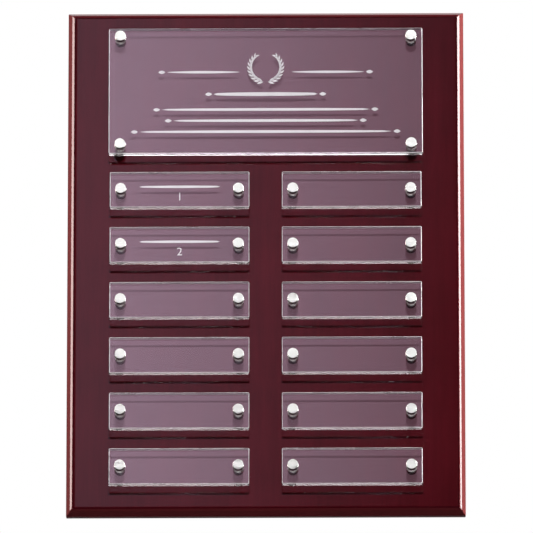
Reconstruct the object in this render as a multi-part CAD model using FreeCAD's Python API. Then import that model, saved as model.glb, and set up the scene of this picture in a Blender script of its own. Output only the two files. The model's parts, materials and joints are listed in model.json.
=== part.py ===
import FreeCAD, Part

# Perpetual plaque: a lacquered hanging board that carries clear plates on turned metal standoffs.
# Millimetres. X runs to the right and Z up as seen from the front, and the front faces -Y.
# The origin is the centre of the board's flat back, which lies against the wall.
# One header plate spans the top of the board, and name plates fill a grid of columns and rows below.
# Each plate hangs on standoffs. A hanger bolt screwed into the board carries a barrel, the plate lies
# on the barrels, and a cap's own threaded stud passes through the plate and screws into each barrel.

import math
import os

from FreeCAD import Vector

# Board
board_width = 304.8
board_height = 406.4
board_thickness = 12.7
bevel_width = 5.2
bevel_depth = 6.0
back_chamfer = 2.6
arris_radius = 0.9

# Hanging slot in the back of the board
keyhole_entry_diameter = 9.5
keyhole_slot_width = 4.9
keyhole_travel = 12.0
keyhole_depth = 8.2
keyhole_web = 3.0
keyhole_drop = 34.0

# Clear plates
acrylic_thickness = 6.0
plate_edge_chamfer = 0.4
header_height = 101.6
name_plate_height = 28.575

# Grid of plates on the board
column_count = 2
row_count = 6
side_margin = 31.75
top_margin = 19.05
bottom_margin = 19.9
header_gap = 15.0
column_gap = 25.0
column_inset = 1.15

# Places of the holes, from the edges of their plate
header_hole_side_inset = 8.8
header_hole_top_inset = 7.05
name_hole_side_inset = 8.3

# Standoffs
thread_diameter = 3.5
thread_pitch = 25.4 / 32
thread_clearance = 0.05
turns_to_free = 5
free_gap = 0.2
plate_hole_clearance = 0.3
barrel_diameter = 8.0
barrel_length = 8.0
cap_diameter = 8.4
cap_height = 4.2
bolt_gap = 0.5
bolt_grip = 8.0
bolt_point_length = 1.6
pilot_spare_depth = 0.6

# Threads and the holes for them are hidden and many, so they are drawn with this many flat sides
thread_sides = 6

# Worked out from the sizes above
overrun = board_thickness
board_front = -board_thickness
plate_back = board_front - barrel_length
plate_front = plate_back - acrylic_thickness
thread_radius = thread_diameter / 2
lift_travel = turns_to_free * thread_pitch
stud_grip = lift_travel - free_gap
header_width = board_width - 2 * side_margin
header_z = board_height / 2 - top_margin - header_height / 2
first_row_z = header_z - header_height / 2 - header_gap - name_plate_height / 2
last_row_z = -board_height / 2 + bottom_margin + name_plate_height / 2
row_pitch = (first_row_z - last_row_z) / max(row_count - 1, 1)
columns_width = header_width - 2 * column_inset
column_pitch = (columns_width + column_gap) / column_count
name_plate_width = column_pitch - column_gap


def cylinder(radius, length, x, y, z):
    """A round bar that starts at y and runs back, towards +Y."""
    return Part.makeCylinder(radius, length, Vector(x, y, z), Vector(0, 1, 0))


def prism(radius, length, x, y, z):
    """A flat-sided bar with its corners at the radius, that starts at y and runs back, towards +Y."""
    turns = [(side + 0.5) / thread_sides for side in range(thread_sides)]
    corners = [
        Vector(x + radius * math.cos(math.tau * turn), y, z + radius * math.sin(math.tau * turn))
        for turn in turns
    ]
    return Part.Face(Part.makePolygon(corners + corners[:1])).extrude(Vector(0, length, 0))


def drill(clearance, length, x, y, z):
    """A flat-sided hole that a thread turns in, with this clearance between its flats and the thread."""
    return prism((thread_radius + clearance) / math.cos(math.pi / thread_sides), length, x, y, z)


def box(x_size, y_size, z_size, x, y, z):
    """A block centred on x and z that starts at y and runs back, towards +Y."""
    return Part.makeBox(x_size, y_size, z_size, Vector(x - x_size / 2, y, z - z_size / 2))


def edge_profile(half):
    """The board's section across its width or height, as (across, y) points."""
    one_side = [
        (half - back_chamfer, 0),
        (half, -back_chamfer),
        (half, board_front + bevel_depth),
        (half - bevel_width, board_front),
    ]
    return one_side + [(-across, y) for across, y in reversed(one_side)]


def keyhole():
    """The tool path of the hanging slot: an entry hole, and an undercut slot above it that holds a screw's head."""
    entry_z = board_height / 2 - keyhole_drop - keyhole_travel
    top_z = entry_z + keyhole_travel
    middle_z = (entry_z + top_z) / 2
    head_room = keyhole_depth - keyhole_web
    cut = cylinder(keyhole_entry_diameter / 2, keyhole_depth + overrun, 0, -keyhole_depth, entry_z)
    pieces = [
        cylinder(keyhole_entry_diameter / 2, head_room, 0, -keyhole_depth, top_z),
        box(keyhole_entry_diameter, head_room, keyhole_travel, 0, -keyhole_depth, middle_z),
        cylinder(keyhole_slot_width / 2, keyhole_web + overrun, 0, -keyhole_web, top_z),
        box(keyhole_slot_width, keyhole_web + overrun, keyhole_travel, 0, -keyhole_web, middle_z),
    ]
    return cut.multiFuse(pieces)


def backboard(holes):
    """A flat board with a mitred bevel round its front, softened at the face, and drilled for its bolts."""
    across_x = [Vector(x, y, 0) for x, y in edge_profile(board_width / 2)]
    across_z = [Vector(0, y, z) for z, y in edge_profile(board_height / 2)]
    upright = Part.Face(Part.makePolygon(across_x + across_x[:1])).extrude(Vector(0, 0, board_height))
    upright.translate(Vector(0, 0, -board_height / 2))
    level = Part.Face(Part.makePolygon(across_z + across_z[:1])).extrude(Vector(board_width, 0, 0))
    level.translate(Vector(-board_width / 2, 0, 0))
    board = upright.common(level).Solids[0]
    front_edges = [
        edge
        for edge in board.Edges
        if all(math.isclose(vertex.Y, board_front, abs_tol=thread_clearance) for vertex in edge.Vertexes)
    ]
    board = board.makeFillet(min(arris_radius, bevel_width / 3), front_edges)
    pilots = [
        drill(thread_clearance, bolt_grip + pilot_spare_depth + overrun, x, board_front - overrun, z)
        for x, z in holes
    ]
    return board.cut(keyhole()).cut(Part.makeCompound(pilots))


def clear_plate(width, height, x, z, holes):
    """A polished clear plate with its edges broken, drilled for the studs."""
    plate = box(width, acrylic_thickness, height, x, plate_front, z)
    plate = plate.makeChamfer(plate_edge_chamfer, plate.Edges)
    drills = [
        drill(plate_hole_clearance, acrylic_thickness + 2 * overrun, hole_x, plate_front - overrun, hole_z)
        for hole_x, hole_z in holes
    ]
    return plate.cut(Part.makeCompound(drills))


def cap(x, z):
    """A round cap and the threaded stud behind it, which reaches into the barrel."""
    head = cylinder(cap_diameter / 2, cap_height, x, plate_front - cap_height, z)
    stud = prism(thread_radius, acrylic_thickness + stud_grip, x, plate_front, z)
    return head.fuse(stud)


def barrel(x, z):
    """A turned spacer with a threaded bore right through."""
    sleeve = cylinder(barrel_diameter / 2, barrel_length, x, plate_back, z)
    return sleeve.cut(drill(thread_clearance, barrel_length + 2 * overrun, x, plate_back - overrun, z))


def hanger_bolt(x, z):
    """A headless bolt: its thread in the barrel's back end, and its point in the wood."""
    shank_front = plate_back + stud_grip + bolt_gap
    shank_back = board_front + bolt_grip - bolt_point_length
    shank = prism(thread_radius, shank_back - shank_front, x, shank_front, z)
    rim = max(shank.Faces, key=lambda face: face.CenterOfMass.y).OuterWire
    point = Part.makeLoft([rim, Part.Vertex(x, shank_back + bolt_point_length, z)], True)
    return shank.fuse(point)


def header_holes():
    """The four stud holes of the header plate, from the top left, row by row."""
    side = header_width / 2 - header_hole_side_inset
    rise = header_height / 2 - header_hole_top_inset
    return [(x, header_z + z) for z in (rise, -rise) for x in (-side, side)]


def name_plate_places():
    """The centres of the name plates, down the left column and then the next."""
    first_x = -column_pitch * (column_count - 1) / 2
    return [
        (first_x + column * column_pitch, first_row_z - row * row_pitch)
        for column in range(column_count)
        for row in range(row_count)
    ]


def name_holes(x, z):
    """The two stud holes of a name plate, left and right."""
    side = name_plate_width / 2 - name_hole_side_inset
    return [(x - side, z), (x + side, z)]


def build():
    """Every piece of the plaque, by name."""
    header = header_holes()
    every_hole = header + [hole for place in name_plate_places() for hole in name_holes(*place)]
    pieces = {
        "backboard": backboard(every_hole),
        "header_plate": clear_plate(header_width, header_height, 0, header_z, header),
        "header_barrels": Part.makeCompound([barrel(x, z) for x, z in header]),
    }
    for number, (x, z) in enumerate(header, 1):
        pieces[f"header_cap_{number}"] = cap(x, z)

    column_holes = [[] for column in range(column_count)]
    for index, (x, z) in enumerate(name_plate_places()):
        label = f"{index + 1:02d}"
        holes = name_holes(x, z)
        column_holes[index // row_count] += holes
        pieces[f"name_plate_{label}"] = clear_plate(name_plate_width, name_plate_height, x, z, holes)
        for side, (hole_x, hole_z) in zip(("left", "right"), holes):
            pieces[f"name_cap_{label}_{side}"] = cap(hole_x, hole_z)

    for number, holes in enumerate(column_holes, 1):
        pieces[f"column_{number}_barrels"] = Part.makeCompound([barrel(x, z) for x, z in holes])
    pieces["hanger_bolts"] = Part.makeCompound([hanger_bolt(x, z) for x, z in every_hole])
    return pieces


os.makedirs("parts", exist_ok=True)
for name, shape in build().items():
    shape.exportStep(f"parts/{name}.step")
    print(name, len(shape.Solids), round(shape.Volume, 1), shape.isValid())
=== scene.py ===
import json
import math

import bmesh
import bpy
from mathutils import Matrix, Vector

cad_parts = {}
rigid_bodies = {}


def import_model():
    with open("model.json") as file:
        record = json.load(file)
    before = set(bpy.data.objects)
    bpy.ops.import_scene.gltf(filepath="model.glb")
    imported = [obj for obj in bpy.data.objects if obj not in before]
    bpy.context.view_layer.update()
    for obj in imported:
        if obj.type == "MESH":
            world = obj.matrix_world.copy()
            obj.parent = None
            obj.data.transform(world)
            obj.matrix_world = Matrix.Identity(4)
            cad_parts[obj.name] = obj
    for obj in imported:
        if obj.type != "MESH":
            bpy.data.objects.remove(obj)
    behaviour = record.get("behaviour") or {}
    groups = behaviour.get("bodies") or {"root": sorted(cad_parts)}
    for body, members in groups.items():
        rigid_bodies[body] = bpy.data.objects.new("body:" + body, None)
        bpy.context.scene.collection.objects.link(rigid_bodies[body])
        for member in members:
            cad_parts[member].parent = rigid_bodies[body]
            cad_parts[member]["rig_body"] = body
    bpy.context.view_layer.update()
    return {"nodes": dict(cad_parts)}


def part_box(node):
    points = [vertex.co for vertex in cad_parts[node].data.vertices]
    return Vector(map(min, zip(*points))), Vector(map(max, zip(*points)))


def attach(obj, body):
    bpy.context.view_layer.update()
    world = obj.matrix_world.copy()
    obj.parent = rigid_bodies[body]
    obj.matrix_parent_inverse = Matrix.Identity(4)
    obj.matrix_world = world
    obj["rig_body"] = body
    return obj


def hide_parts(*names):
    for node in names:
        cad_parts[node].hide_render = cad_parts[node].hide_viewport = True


bl_info = {
    "name": "Perpetual plaque",
    "version": (1, 0, 0),
    "blender": (4, 5, 0),
    "location": "View3D > Sidebar > Plaque",
    "description": "A lacquered hanging board with clear plates on turned standoffs, and its studio",
    "category": "Object",
}

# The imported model. X runs to the right and Z up as seen from the front, and the front faces -Y.
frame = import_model()

BOARD_NODE = "backboard"
HEADER_NODE = "header_plate"
BOLTS_NODE = "hanger_bolts"
NAME_PLATE_NODES = sorted(name for name in frame["nodes"] if name.startswith("name_plate_"))
CAP_NODES = sorted(name for name in frame["nodes"] if "_cap_" in name)
BARREL_NODES = sorted(name for name in frame["nodes"] if name.endswith("_barrels"))
NUMBERED_NODES = NAME_PLATE_NODES[:2]

board_low, board_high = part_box(BOARD_NODE)
header_low, header_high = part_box(HEADER_NODE)
cap_low, cap_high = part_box(CAP_NODES[0])
bolts_low, bolts_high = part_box(BOLTS_NODE)

# Attribute that holds a turned piece's own coordinates, measured from its axis
TURNED_PLACE = "turned_place"
MERGE_DISTANCE = 1e-6
# Edges of a turned piece that turn more than this stay sharp
SHARP_ANGLE = math.radians(32)

# Flat wood that the board's profile takes in beyond its chamfer and bevel
FACE_MARGIN = 0.001
# The undercut's slot is this share of its entry hole's width, so that the two outlines still cross
NEARLY_ALL = 0.9999

# Where the painted shade in the cap's neck starts and ends, in neck depths behind the cap's face
NECK_SPAN = (2.1, 9.9)
# Share of a rod's radius that is left at its point
BLUNT_SHARE = 0.12
# How far from its middle a strip still has its width, as a share of its length
STRIP_REACH = 0.4999

# Depths of a light ray that has run some way, or a long way, inside a plate
SOME_WAY = 4.5
LONG_WAY = 10.5

# The header's ornament, in metres from the plate's centre. A rule is its length, half width and fullness.
WREATH_HEIGHT = 0.0205
FLANK_HEIGHT = 0.0165
FLANK_RULE = (0.056, 0.0010, 0.6)
FLANK_RULE_SIDE = 0.048
LEAF_RULE = (0.0056, 0.0014, 1.0)
FLANK_LEAF_SIDE = 0.080
LEAF_GAP = 0.0040
LONG_RULES = (
    (-0.0015, (0.080, 0.0015, 0.22)),
    (-0.0140, (0.160, 0.0011, 0.22)),
    (-0.0230, (0.142, 0.0011, 0.22)),
    (-0.0320, (0.194, 0.0011, 0.22)),
)

# The numbered plates, in the same way
NAME_RULE = (0.062, 0.0010, 0.25)
NAME_RULE_HEIGHT = 0.0035
NUMERAL_HEIGHT = -0.0048

# The studio, in metres from the plaque's centre
CENTRE = (0.0, 0.0, 0.0)
VIEW_TARGET = (0.0004, 0.0, -0.0004)
KEY_TARGET = (-0.03, 0.0, -0.03)
KEY_SOFTNESS = 0.04
KEY_SPREAD = math.radians(13.0)
FLOOR_SIZE = 25.0
FLOOR_GLOW = 0.7
WHITE = (1.0, 1.0, 1.0, 1.0)


def middle(node):
    """The centre of a CAD node's box."""
    low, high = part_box(node)
    return (low + high) / 2


# The (x, z) place of every cap, with a barrel and a bolt behind it
CAP_PLACES = [(middle(cap).x, middle(cap).z) for cap in CAP_NODES]


def plate_of(cap):
    """The name of the plate that a cap holds."""
    if cap.startswith("header_cap_"):
        return HEADER_NODE
    return "name_plate_" + cap.split("_")[2]


def holes_of(plate):
    """The (x, z) places of the stud holes in a plate."""
    return [place for cap, place in zip(CAP_NODES, CAP_PLACES) if plate_of(cap) == plate]


# Settings


def length(name, description, default, low=0.0, high=1.0):
    """A setting for a size in metres."""
    return bpy.props.FloatProperty(
        name=name, description=description, default=default, min=low, max=high, precision=5, unit="LENGTH"
    )


def share(name, description, default, high=1.0):
    """A setting for a plain number."""
    return bpy.props.FloatProperty(
        name=name, description=description, default=default, min=0.0, max=high, subtype="FACTOR"
    )


def colour(name, description, default):
    """A setting for a colour."""
    return bpy.props.FloatVectorProperty(
        name=name, description=description, default=default, size=3, min=0.0, max=1.0, subtype="COLOR"
    )


def angle(name, description, degrees):
    """A setting for an angle."""
    return bpy.props.FloatProperty(
        name=name, description=description, default=math.radians(degrees), subtype="ANGLE"
    )


def count(name, description, default, low):
    """A setting for a whole number."""
    return bpy.props.IntProperty(name=name, description=description, default=default, min=low)


def power(name, description, watts):
    """A setting for a lamp's power."""
    return bpy.props.FloatProperty(name=name, description=description, default=watts, min=0.0, unit="POWER")


class PlaqueBoardSettings(bpy.types.PropertyGroup):
    """Sizes and colours of the lacquered board"""

    bevel_width: length("Bevel width", "How far the bevel runs in from the board's edge", 0.0052)
    bevel_depth: length("Bevel depth", "How far the bevel runs back from the face", 0.006)
    inner_bevel_width: length("Inner bevel width", "Width of the shallow band next to the face", 0.0022)
    inner_bevel_angle: angle("Inner bevel angle", "Tilt of that band from the face", 32)
    knee_round: length("Knee round", "Rounding between the shallow and the steep band", 0.0005)
    arris_round: length("Arris round", "Rounding where the bevel meets the face", 0.0012)
    edge_round: length("Edge round", "Rounding of the board's other long edges", 0.0006)
    mitre_round: length("Mitre round", "Rounding of the upright corners and mitres", 0.0007)
    back_chamfer: length("Back chamfer", "Chamfer round the back of the board", 0.0026)
    entry_diameter: length("Entry diameter", "Hole that a screw's head goes in by", 0.0094)
    slot_width: length("Slot width", "Slot that holds the screw's neck", 0.0049)
    head_width: length("Head room", "Width of the undercut behind the slot", 0.0095)
    slot_travel: length("Slot travel", "How far the board drops on its screw", 0.012)
    slot_depth: length("Slot depth", "Depth of the undercut from the back", 0.0082)
    slot_web: length("Slot web", "Wood left between the back and the undercut", 0.003)
    slot_drop: length("Slot drop", "From the board's top edge to the slot's top end", 0.034)
    pilot_diameter: length("Pilot diameter", "Hole in the wood for each bolt", 0.0036)
    pilot_depth: length("Pilot depth", "Depth of those holes from the face", 0.0086)
    dark: colour("Dark figure", "Stain in the dark streaks", (0.043, 0.0018, 0.0035))
    light: colour("Light figure", "Stain in the light streaks", (0.070, 0.0035, 0.0072))
    # Partly painted light: the long-grain bevels are lighter than the face, partly standing in for the side
    # lamps' strong light.
    long_grain: colour("Long grain", "Stain on the bevels along the grain", (0.150, 0.0260, 0.0250))
    end_grain: colour("End grain", "Stain on the bevels across the grain", (0.050, 0.0055, 0.0070))
    # Painted shade: a dark line along the inner edge of the bevel.
    pooled: colour("Pooled stain", "Stain along the inner edge of the bevel", (0.030, 0.0010, 0.0030))
    # Painted light: a colour added to the lacquer only where it is seen through a plate.
    through_plates: colour("Through plates", "Light scattered on the lacquer behind", (0.033, 0.054, 0.066))
    # Painted glow: the lacquer seen through a plate glows with these colours, also where shadow falls.
    high_veil: colour("High veil", "Haze of a plate near the top", (0.055, 0.011, 0.018))
    low_veil: colour("Low veil", "Haze of a plate at the bottom", (0.073, 0.027, 0.038))
    # Painted light: the lacquer turns near white where a ray has run along inside a plate, so the plates'
    # edges glow.
    along_plates: colour("Along plates", "Light that runs out of a plate's edge", (0.99, 0.97, 0.96))
    face_lacquer: share("Face lacquer", "Weight of the rubbed lacquer on the face", 0.5)
    gloss: share("Lacquer roughness", "Roughness of the lacquer", 0.045)


class PlaquePlateSettings(bpy.types.PropertyGroup):
    """Sizes and finish of the clear plates"""

    edge_round: length("Edge round", "Rounding of the edges", 0.0005)
    corner_round: length("Corner round", "Rounding of the corners seen from the front", 0.0009)
    hole_diameter: length("Hole diameter", "Hole for a cap's stud", 0.0041)
    hole_round: length("Hole round", "Rounding of the rims of the holes", 0.00025)
    tint: colour("Tint", "Colour of the clear plastic", (0.97, 0.945, 0.965))
    clearness: share("Clearness", "Share of light that passes without haze", 0.997)
    edge_tint: colour("Edge tint", "Colour of the edges and arrises", (0.97, 0.94, 0.96))
    # Painted shade: the header's top arris is darkened with this colour.
    top_tint: colour("Top tint", "Colour of the header's top arris", (0.30, 0.26, 0.29))
    edge_clearness: share("Edge clearness", "Clearness of a polished edge", 0.99)
    arris_clearness: share("Arris clearness", "Clearness of a scraped arris", 0.45)
    edge_shade: share("Edge shade", "Light that passes an edge and does not bend away", 0.10)


class PlaqueHardwareSettings(bpy.types.PropertyGroup):
    """Sizes and colours of the standoffs"""

    cap_diameter: length("Cap diameter", "Diameter of a cap", cap_high.x - cap_low.x)
    cap_chamfer: length("Cap chamfer", "Chamfer round a cap's face", 0.0003)
    cap_neck: length("Cap neck", "Depth of the turned neck between a cap's face and its foot", 0.0003)
    # Painted shade: the metal in the neck is darkened where shade falls in the groove.
    neck_shade: share("Neck shade", "Brightness of the neck's unpolished metal", 0.08)
    rim_break: length("Rim break", "Small chamfer on the other rims", 0.00015)
    barrel_diameter: length("Barrel diameter", "Diameter of a barrel", 0.008)
    barrel_chamfer: length("Barrel chamfer", "Chamfer at a barrel's front", 0.0010)
    bore_diameter: length("Bore diameter", "Bore through a barrel", 0.0036)
    thread_diameter: length("Thread diameter", "Thread of the studs and bolts", 0.0035)
    thread_pitch: length("Thread pitch", "Distance from turn to turn", 0.0254 / 32)
    thread_depth: length("Thread depth", "Depth of the thread", 0.0004)
    bolt_point: length("Bolt point", "Length of a bolt's point", 0.0016)
    ring_pitch: length("Turning marks", "Distance between the fine rings on a cap's face", 0.00028)
    chrome: colour("Chrome", "Colour of the caps", (0.93, 0.925, 0.915))
    nickel: colour("Nickel", "Colour of the barrels", (0.72, 0.71, 0.69))
    zinc: colour("Zinc", "Colour of the bolts", (0.62, 0.62, 0.60))
    face_roughness: share("Face roughness", "Roughness of the turned faces", 0.5)
    side_roughness: share("Side roughness", "Roughness of the polished sides", 0.08)


class PlaqueEngravingSettings(bpy.types.PropertyGroup):
    """Sizes and colour of the frosted ornament behind the plates"""

    depth: length("Depth", "Thickness of the frosted ornament", 0.00006)
    stand_off: length("Stand-off", "Distance behind the plate's back", 0.00001)
    wreath_radius: length("Wreath radius", "Radius of the laurel branches", 0.0120)
    leaf_length: length("Leaf length", "Length of a laurel leaf", 0.0052)
    leaf_width: length("Leaf width", "Half width of a laurel leaf", 0.00085)
    leaf_spread: angle("Leaf spread", "Angle between a leaf and its branch", 27)
    leaf_pairs: count("Leaf pairs", "Pairs of leaves on a branch", 10, 2)
    numeral_height: length("Numeral height", "Size of the plain numerals", 0.0092)
    white: colour("Frost", "Colour of the frosted ornament", (0.97, 1.0, 0.94))


class PlaqueStudioSettings(bpy.types.PropertyGroup):
    """Camera, lamps and floor"""

    distance: length("Camera distance", "From the camera to the plaque", 9.2, 1.0, 20.0)
    azimuth: angle("Camera azimuth", "Turn of the camera round the plaque", 0.6)
    elevation: angle("Camera elevation", "Height of the camera's view", -18.3)
    lens: bpy.props.FloatProperty(
        name="Lens", description="Focal length in millimetres", default=809.2, min=1.0, unit="CAMERA"
    )
    bounces: count("Bounces", "Turns that light may take in a plate", 24, 4)
    ambient: share("Ambient", "Light from all round", 0.10, 2.0)
    key: power("Key lamp", "Power of the key lamp", 600.0)
    left: power("Left lamp", "Power of the left lamp", 17.0)
    right: power("Right lamp", "Power of the right lamp", 58.0)
    top: power("Top lamp", "Power of the top lamp", 40.0)
    low: power("Low lamp", "Power of the low lamp", 3.0)
    back: power("Back lamp", "Power of the back lamp", 60.0)
    floor_drop: length("Floor drop", "From the plaque's centre down to the floor", 3.0, 0.3, 10.0)
    floor: colour("Floor", "Colour of the floor", (0.90, 0.90, 0.89))


# Node trees


class Value:
    """A node's output, with Python's own signs for the Math nodes that use it."""

    def __init__(self, socket):
        self.socket = socket
        self.tree = socket.id_data

    def __add__(self, other):
        return calc("ADD", self, other)

    def __sub__(self, other):
        return calc("SUBTRACT", self, other)

    def __rsub__(self, other):
        return calc("SUBTRACT", other, self)

    def __mul__(self, other):
        return calc("MULTIPLY", self, other)

    def __truediv__(self, other):
        return calc("DIVIDE", self, other)

    def __lt__(self, other):
        return calc("LESS_THAN", self, other)

    def __gt__(self, other):
        return calc("GREATER_THAN", self, other)


class Outputs:
    """All outputs of a node, by name or number."""

    def __init__(self, node):
        self.node = node
        self.tree = node.id_data

    def __getitem__(self, key):
        return Value(self.node.outputs[key])


def feed(socket, value):
    """Feed a socket from a node's output, or give it a constant."""
    if isinstance(value, Value):
        value.tree.links.new(value.socket, socket)
    else:
        socket.default_value = value


def add(tree, kind, inputs=None, **options):
    """Add a node with its options, and feed the inputs that are named or numbered."""
    node = tree.nodes.new(kind)
    for name, value in options.items():
        setattr(node, name, value)
    for name, value in (inputs or {}).items():
        feed(node.inputs[name], value)
    return Outputs(node)


def tree_of(*values):
    """The tree that the first output among these values stands in."""
    return next(value.tree for value in values if isinstance(value, Value))


def calc(operation, *values):
    """One Math node, or one Vector Math node where the first value is a vector or colour."""
    vector = isinstance(values[0], Value) and values[0].socket.type in ("VECTOR", "RGBA")
    kind = "ShaderNodeVectorMath" if vector else "ShaderNodeMath"
    made = add(tree_of(*values), kind, dict(enumerate(values)), operation=operation)
    return made["Value" if operation == "LENGTH" else 0]


def scaled(vector, amount):
    """A vector times a number."""
    values = {0: vector, "Scale": amount}
    return add(tree_of(vector, amount), "ShaderNodeVectorMath", values, operation="SCALE")[0]


def vector_of(x=0.0, y=0.0, z=0.0):
    """A vector from three numbers."""
    return add(tree_of(x, y, z), "ShaderNodeCombineXYZ", {"X": x, "Y": y, "Z": z})[0]


def map_range(value, from_low, from_high, to_low, to_high, smooth=False):
    """A clamped Map Range node."""
    kind = "SMOOTHSTEP" if smooth else "LINEAR"
    inputs = dict(enumerate((value, from_low, from_high, to_low, to_high)))
    return add(value.tree, "ShaderNodeMapRange", inputs, interpolation_type=kind)[0]


def new_group(name, kind, inputs, outputs):
    """A node group. Each input has its default number, or a word for its kind of socket."""
    tree = bpy.data.node_groups.new(name, kind)
    for label, value in inputs.items():
        socket_type = value if isinstance(value, str) else "Int" if isinstance(value, int) else "Float"
        socket = tree.interface.new_socket(label, in_out="INPUT", socket_type="NodeSocket" + socket_type)
        if not isinstance(value, str):
            socket.default_value = value
    for label, socket_type in outputs.items():
        tree.interface.new_socket(label, in_out="OUTPUT", socket_type="NodeSocket" + socket_type)
    return Outputs(tree.nodes.new("NodeGroupInput")), tree.nodes.new("NodeGroupOutput").inputs


def new_object(name, data):
    """An object that is in the scene."""
    thing = bpy.data.objects.new(name, data)
    bpy.context.scene.collection.objects.link(thing)
    return thing


# Shapes made by Geometry Nodes


def shape_tree(name, sizes):
    """A Geometry Nodes tree that is given points, sizes and a material, and returns a mesh."""
    inputs = {"Geometry": "Geometry", **sizes, "Material": "Material"}
    return new_group(name, "GeometryNodeTree", inputs, {"Geometry": "Geometry"})


def set_on_points(inputs, outputs, part):
    """Set a part on every point, keep its own coordinates, and end with one mesh in one material."""
    tree = inputs.tree
    kept = {"Geometry": part, "Name": TURNED_PLACE, "Value": add(tree, "GeometryNodeInputPosition")[0]}
    part = add(tree, "GeometryNodeStoreNamedAttribute", kept, data_type="FLOAT_VECTOR", domain="POINT")[0]
    spread = add(tree, "GeometryNodeInstanceOnPoints", {"Points": inputs["Geometry"], "Instance": part})[0]
    whole = add(tree, "GeometryNodeRealizeInstances", {"Geometry": spread})[0]
    whole = add(tree, "GeometryNodeSetMaterial", {"Geometry": whole, "Material": inputs["Material"]})[0]
    feed(outputs[0], whole)
    return tree


def join(*parts):
    """Join several geometries."""
    joined = add(parts[0].tree, "GeometryNodeJoinGeometry")
    for part in reversed(parts):
        feed(joined.node.inputs[0], part)
    return joined[0]


def choose(index, values):
    """Pick one of several numbers by its place in the list."""
    switch = add(index.tree, "GeometryNodeIndexSwitch", data_type="FLOAT")
    while len(switch.node.index_switch_items) < len(values):
        switch.node.index_switch_items.new()
    for number, value in enumerate([index, *values]):
        feed(switch.node.inputs[number], value)
    return switch[0]


def skin(tree, columns, rows, place):
    """A grid whose points go where place(column, row) says, closed where they meet."""
    grid = add(tree, "GeometryNodeMeshGrid", {"Vertices X": columns, "Vertices Y": rows})["Mesh"]
    index = add(tree, "GeometryNodeInputIndex")[0]
    # A quarter keeps a whole number from being rounded down to the one before it
    column = calc("FLOOR", (index + 0.25) / rows)
    row = index - column * rows
    moved = add(tree, "GeometryNodeSetPosition", {"Geometry": grid, "Position": place(column, row)})[0]
    return add(tree, "GeometryNodeMergeByDistance", {"Geometry": moved, "Distance": MERGE_DISTANCE})[0]


def around_axis(radius, depth, turn):
    """The point at this radius, depth and turn round the Y axis."""
    return vector_of(radius * calc("SINE", turn), depth, radius * calc("COSINE", turn))


def lathe(tree, profile, sides):
    """Turn a profile of (radius, depth) pairs round the Y axis."""

    def place(column, row):
        radius = choose(row, [pair[0] for pair in profile])
        depth = choose(row, [pair[1] for pair in profile])
        return around_axis(radius, depth, column / sides * math.tau)

    return skin(tree, sides + 1, len(profile), place)


def threaded_rod(inputs, start, reach, point, sides, rows_in_turn):
    """A rod along Y with a right-hand thread, and a point of this length at its far end."""
    pitch = inputs["Thread pitch"]
    crest = inputs["Thread diameter"] / 2.0
    # One row more than there are steps, and two that close the ends
    rows = calc("CEIL", reach / pitch * rows_in_turn) + 3

    def place(column, row):
        around = column / sides
        along = calc("MINIMUM", calc("MAXIMUM", (row - 1) / (rows - 3), 0.0), 1.0)
        y = start + along * reach
        phase = calc("FRACT", y / pitch - around)
        flank = calc("ABSOLUTE", phase * 2.0 - 1.0)
        taper = crest * ((start + reach - y) / point)
        radius = calc("MINIMUM", crest - inputs["Thread depth"] * flank, taper + crest * BLUNT_SHARE)
        inside = calc("MINIMUM", calc("MINIMUM", row, rows - 1 - row), 1.0)
        return around_axis(radius * inside, y, around * math.tau)

    return skin(inputs.tree, sides + 1, rows, place)


def blade(tree, centre, across, thickness, steps):
    """A flat strip. centre and across give its middle and half its width at a share of the way."""

    def place(column, row):
        along = column / (steps - 1)
        side = choose(row, [1.0, 1.0, -1.0, -1.0, 1.0])
        level = choose(row, [0.0, 1.0, 1.0, 0.0, 0.0])
        return centre(along) + scaled(across(along), side) + vector_of(y=level * thickness)

    return skin(tree, steps, 5, place)


def short_of_ends(along):
    """1 along a strip and 0 at its ends, where it closes."""
    return calc("ABSOLUTE", along - 0.5) < STRIP_REACH


def cap_tree():
    """Turned caps with their threaded studs."""
    inputs, outputs = shape_tree(
        "Turned caps",
        {
            "Diameter": 0.0084,
            "Face depth": -0.0309,
            "Seat depth": -0.0267,
            "Stud end": -0.0169,
            "Chamfer": 0.0005,
            "Rim break": 0.0002,
            "Neck": 0.0005,
            "Thread diameter": 0.0035,
            "Thread depth": 0.0004,
            "Thread pitch": 0.0008,
            "Sides": 72,
        },
    )
    radius = inputs["Diameter"] / 2.0
    face, seat = inputs["Face depth"], inputs["Seat depth"]
    chamfer, rim, neck = inputs["Chamfer"], inputs["Rim break"], inputs["Neck"]
    # From the face back to the seat, in shares of the chamfer and the neck's depth
    profile = [
        (0.0, face),
        (radius - chamfer * 2.2, face),
        (radius - chamfer * 1.08, face),
        (radius - chamfer * 0.96, face + chamfer * 0.04),
        (radius - chamfer * 0.04, face + chamfer * 0.96),
        (radius, face + chamfer * 1.08),
        (radius, face + neck * 2.0),
        (radius - neck * 0.3, face + neck * 2.2),
        (radius - neck, face + neck * 2.3),
        (radius - neck, face + neck * 9.8),
        (radius - neck * 0.3, face + neck * 10.0),
        (radius, face + neck * 10.3),
        (radius, seat - rim),
        (radius - rim, seat),
        (0.0, seat),
    ]
    head = lathe(inputs.tree, profile, inputs["Sides"])
    root = seat - rim
    reach = inputs["Stud end"] - root
    stud = threaded_rod(inputs, root, reach, inputs["Thread pitch"], sides=24, rows_in_turn=6)
    return set_on_points(inputs, outputs, join(head, stud))


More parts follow.
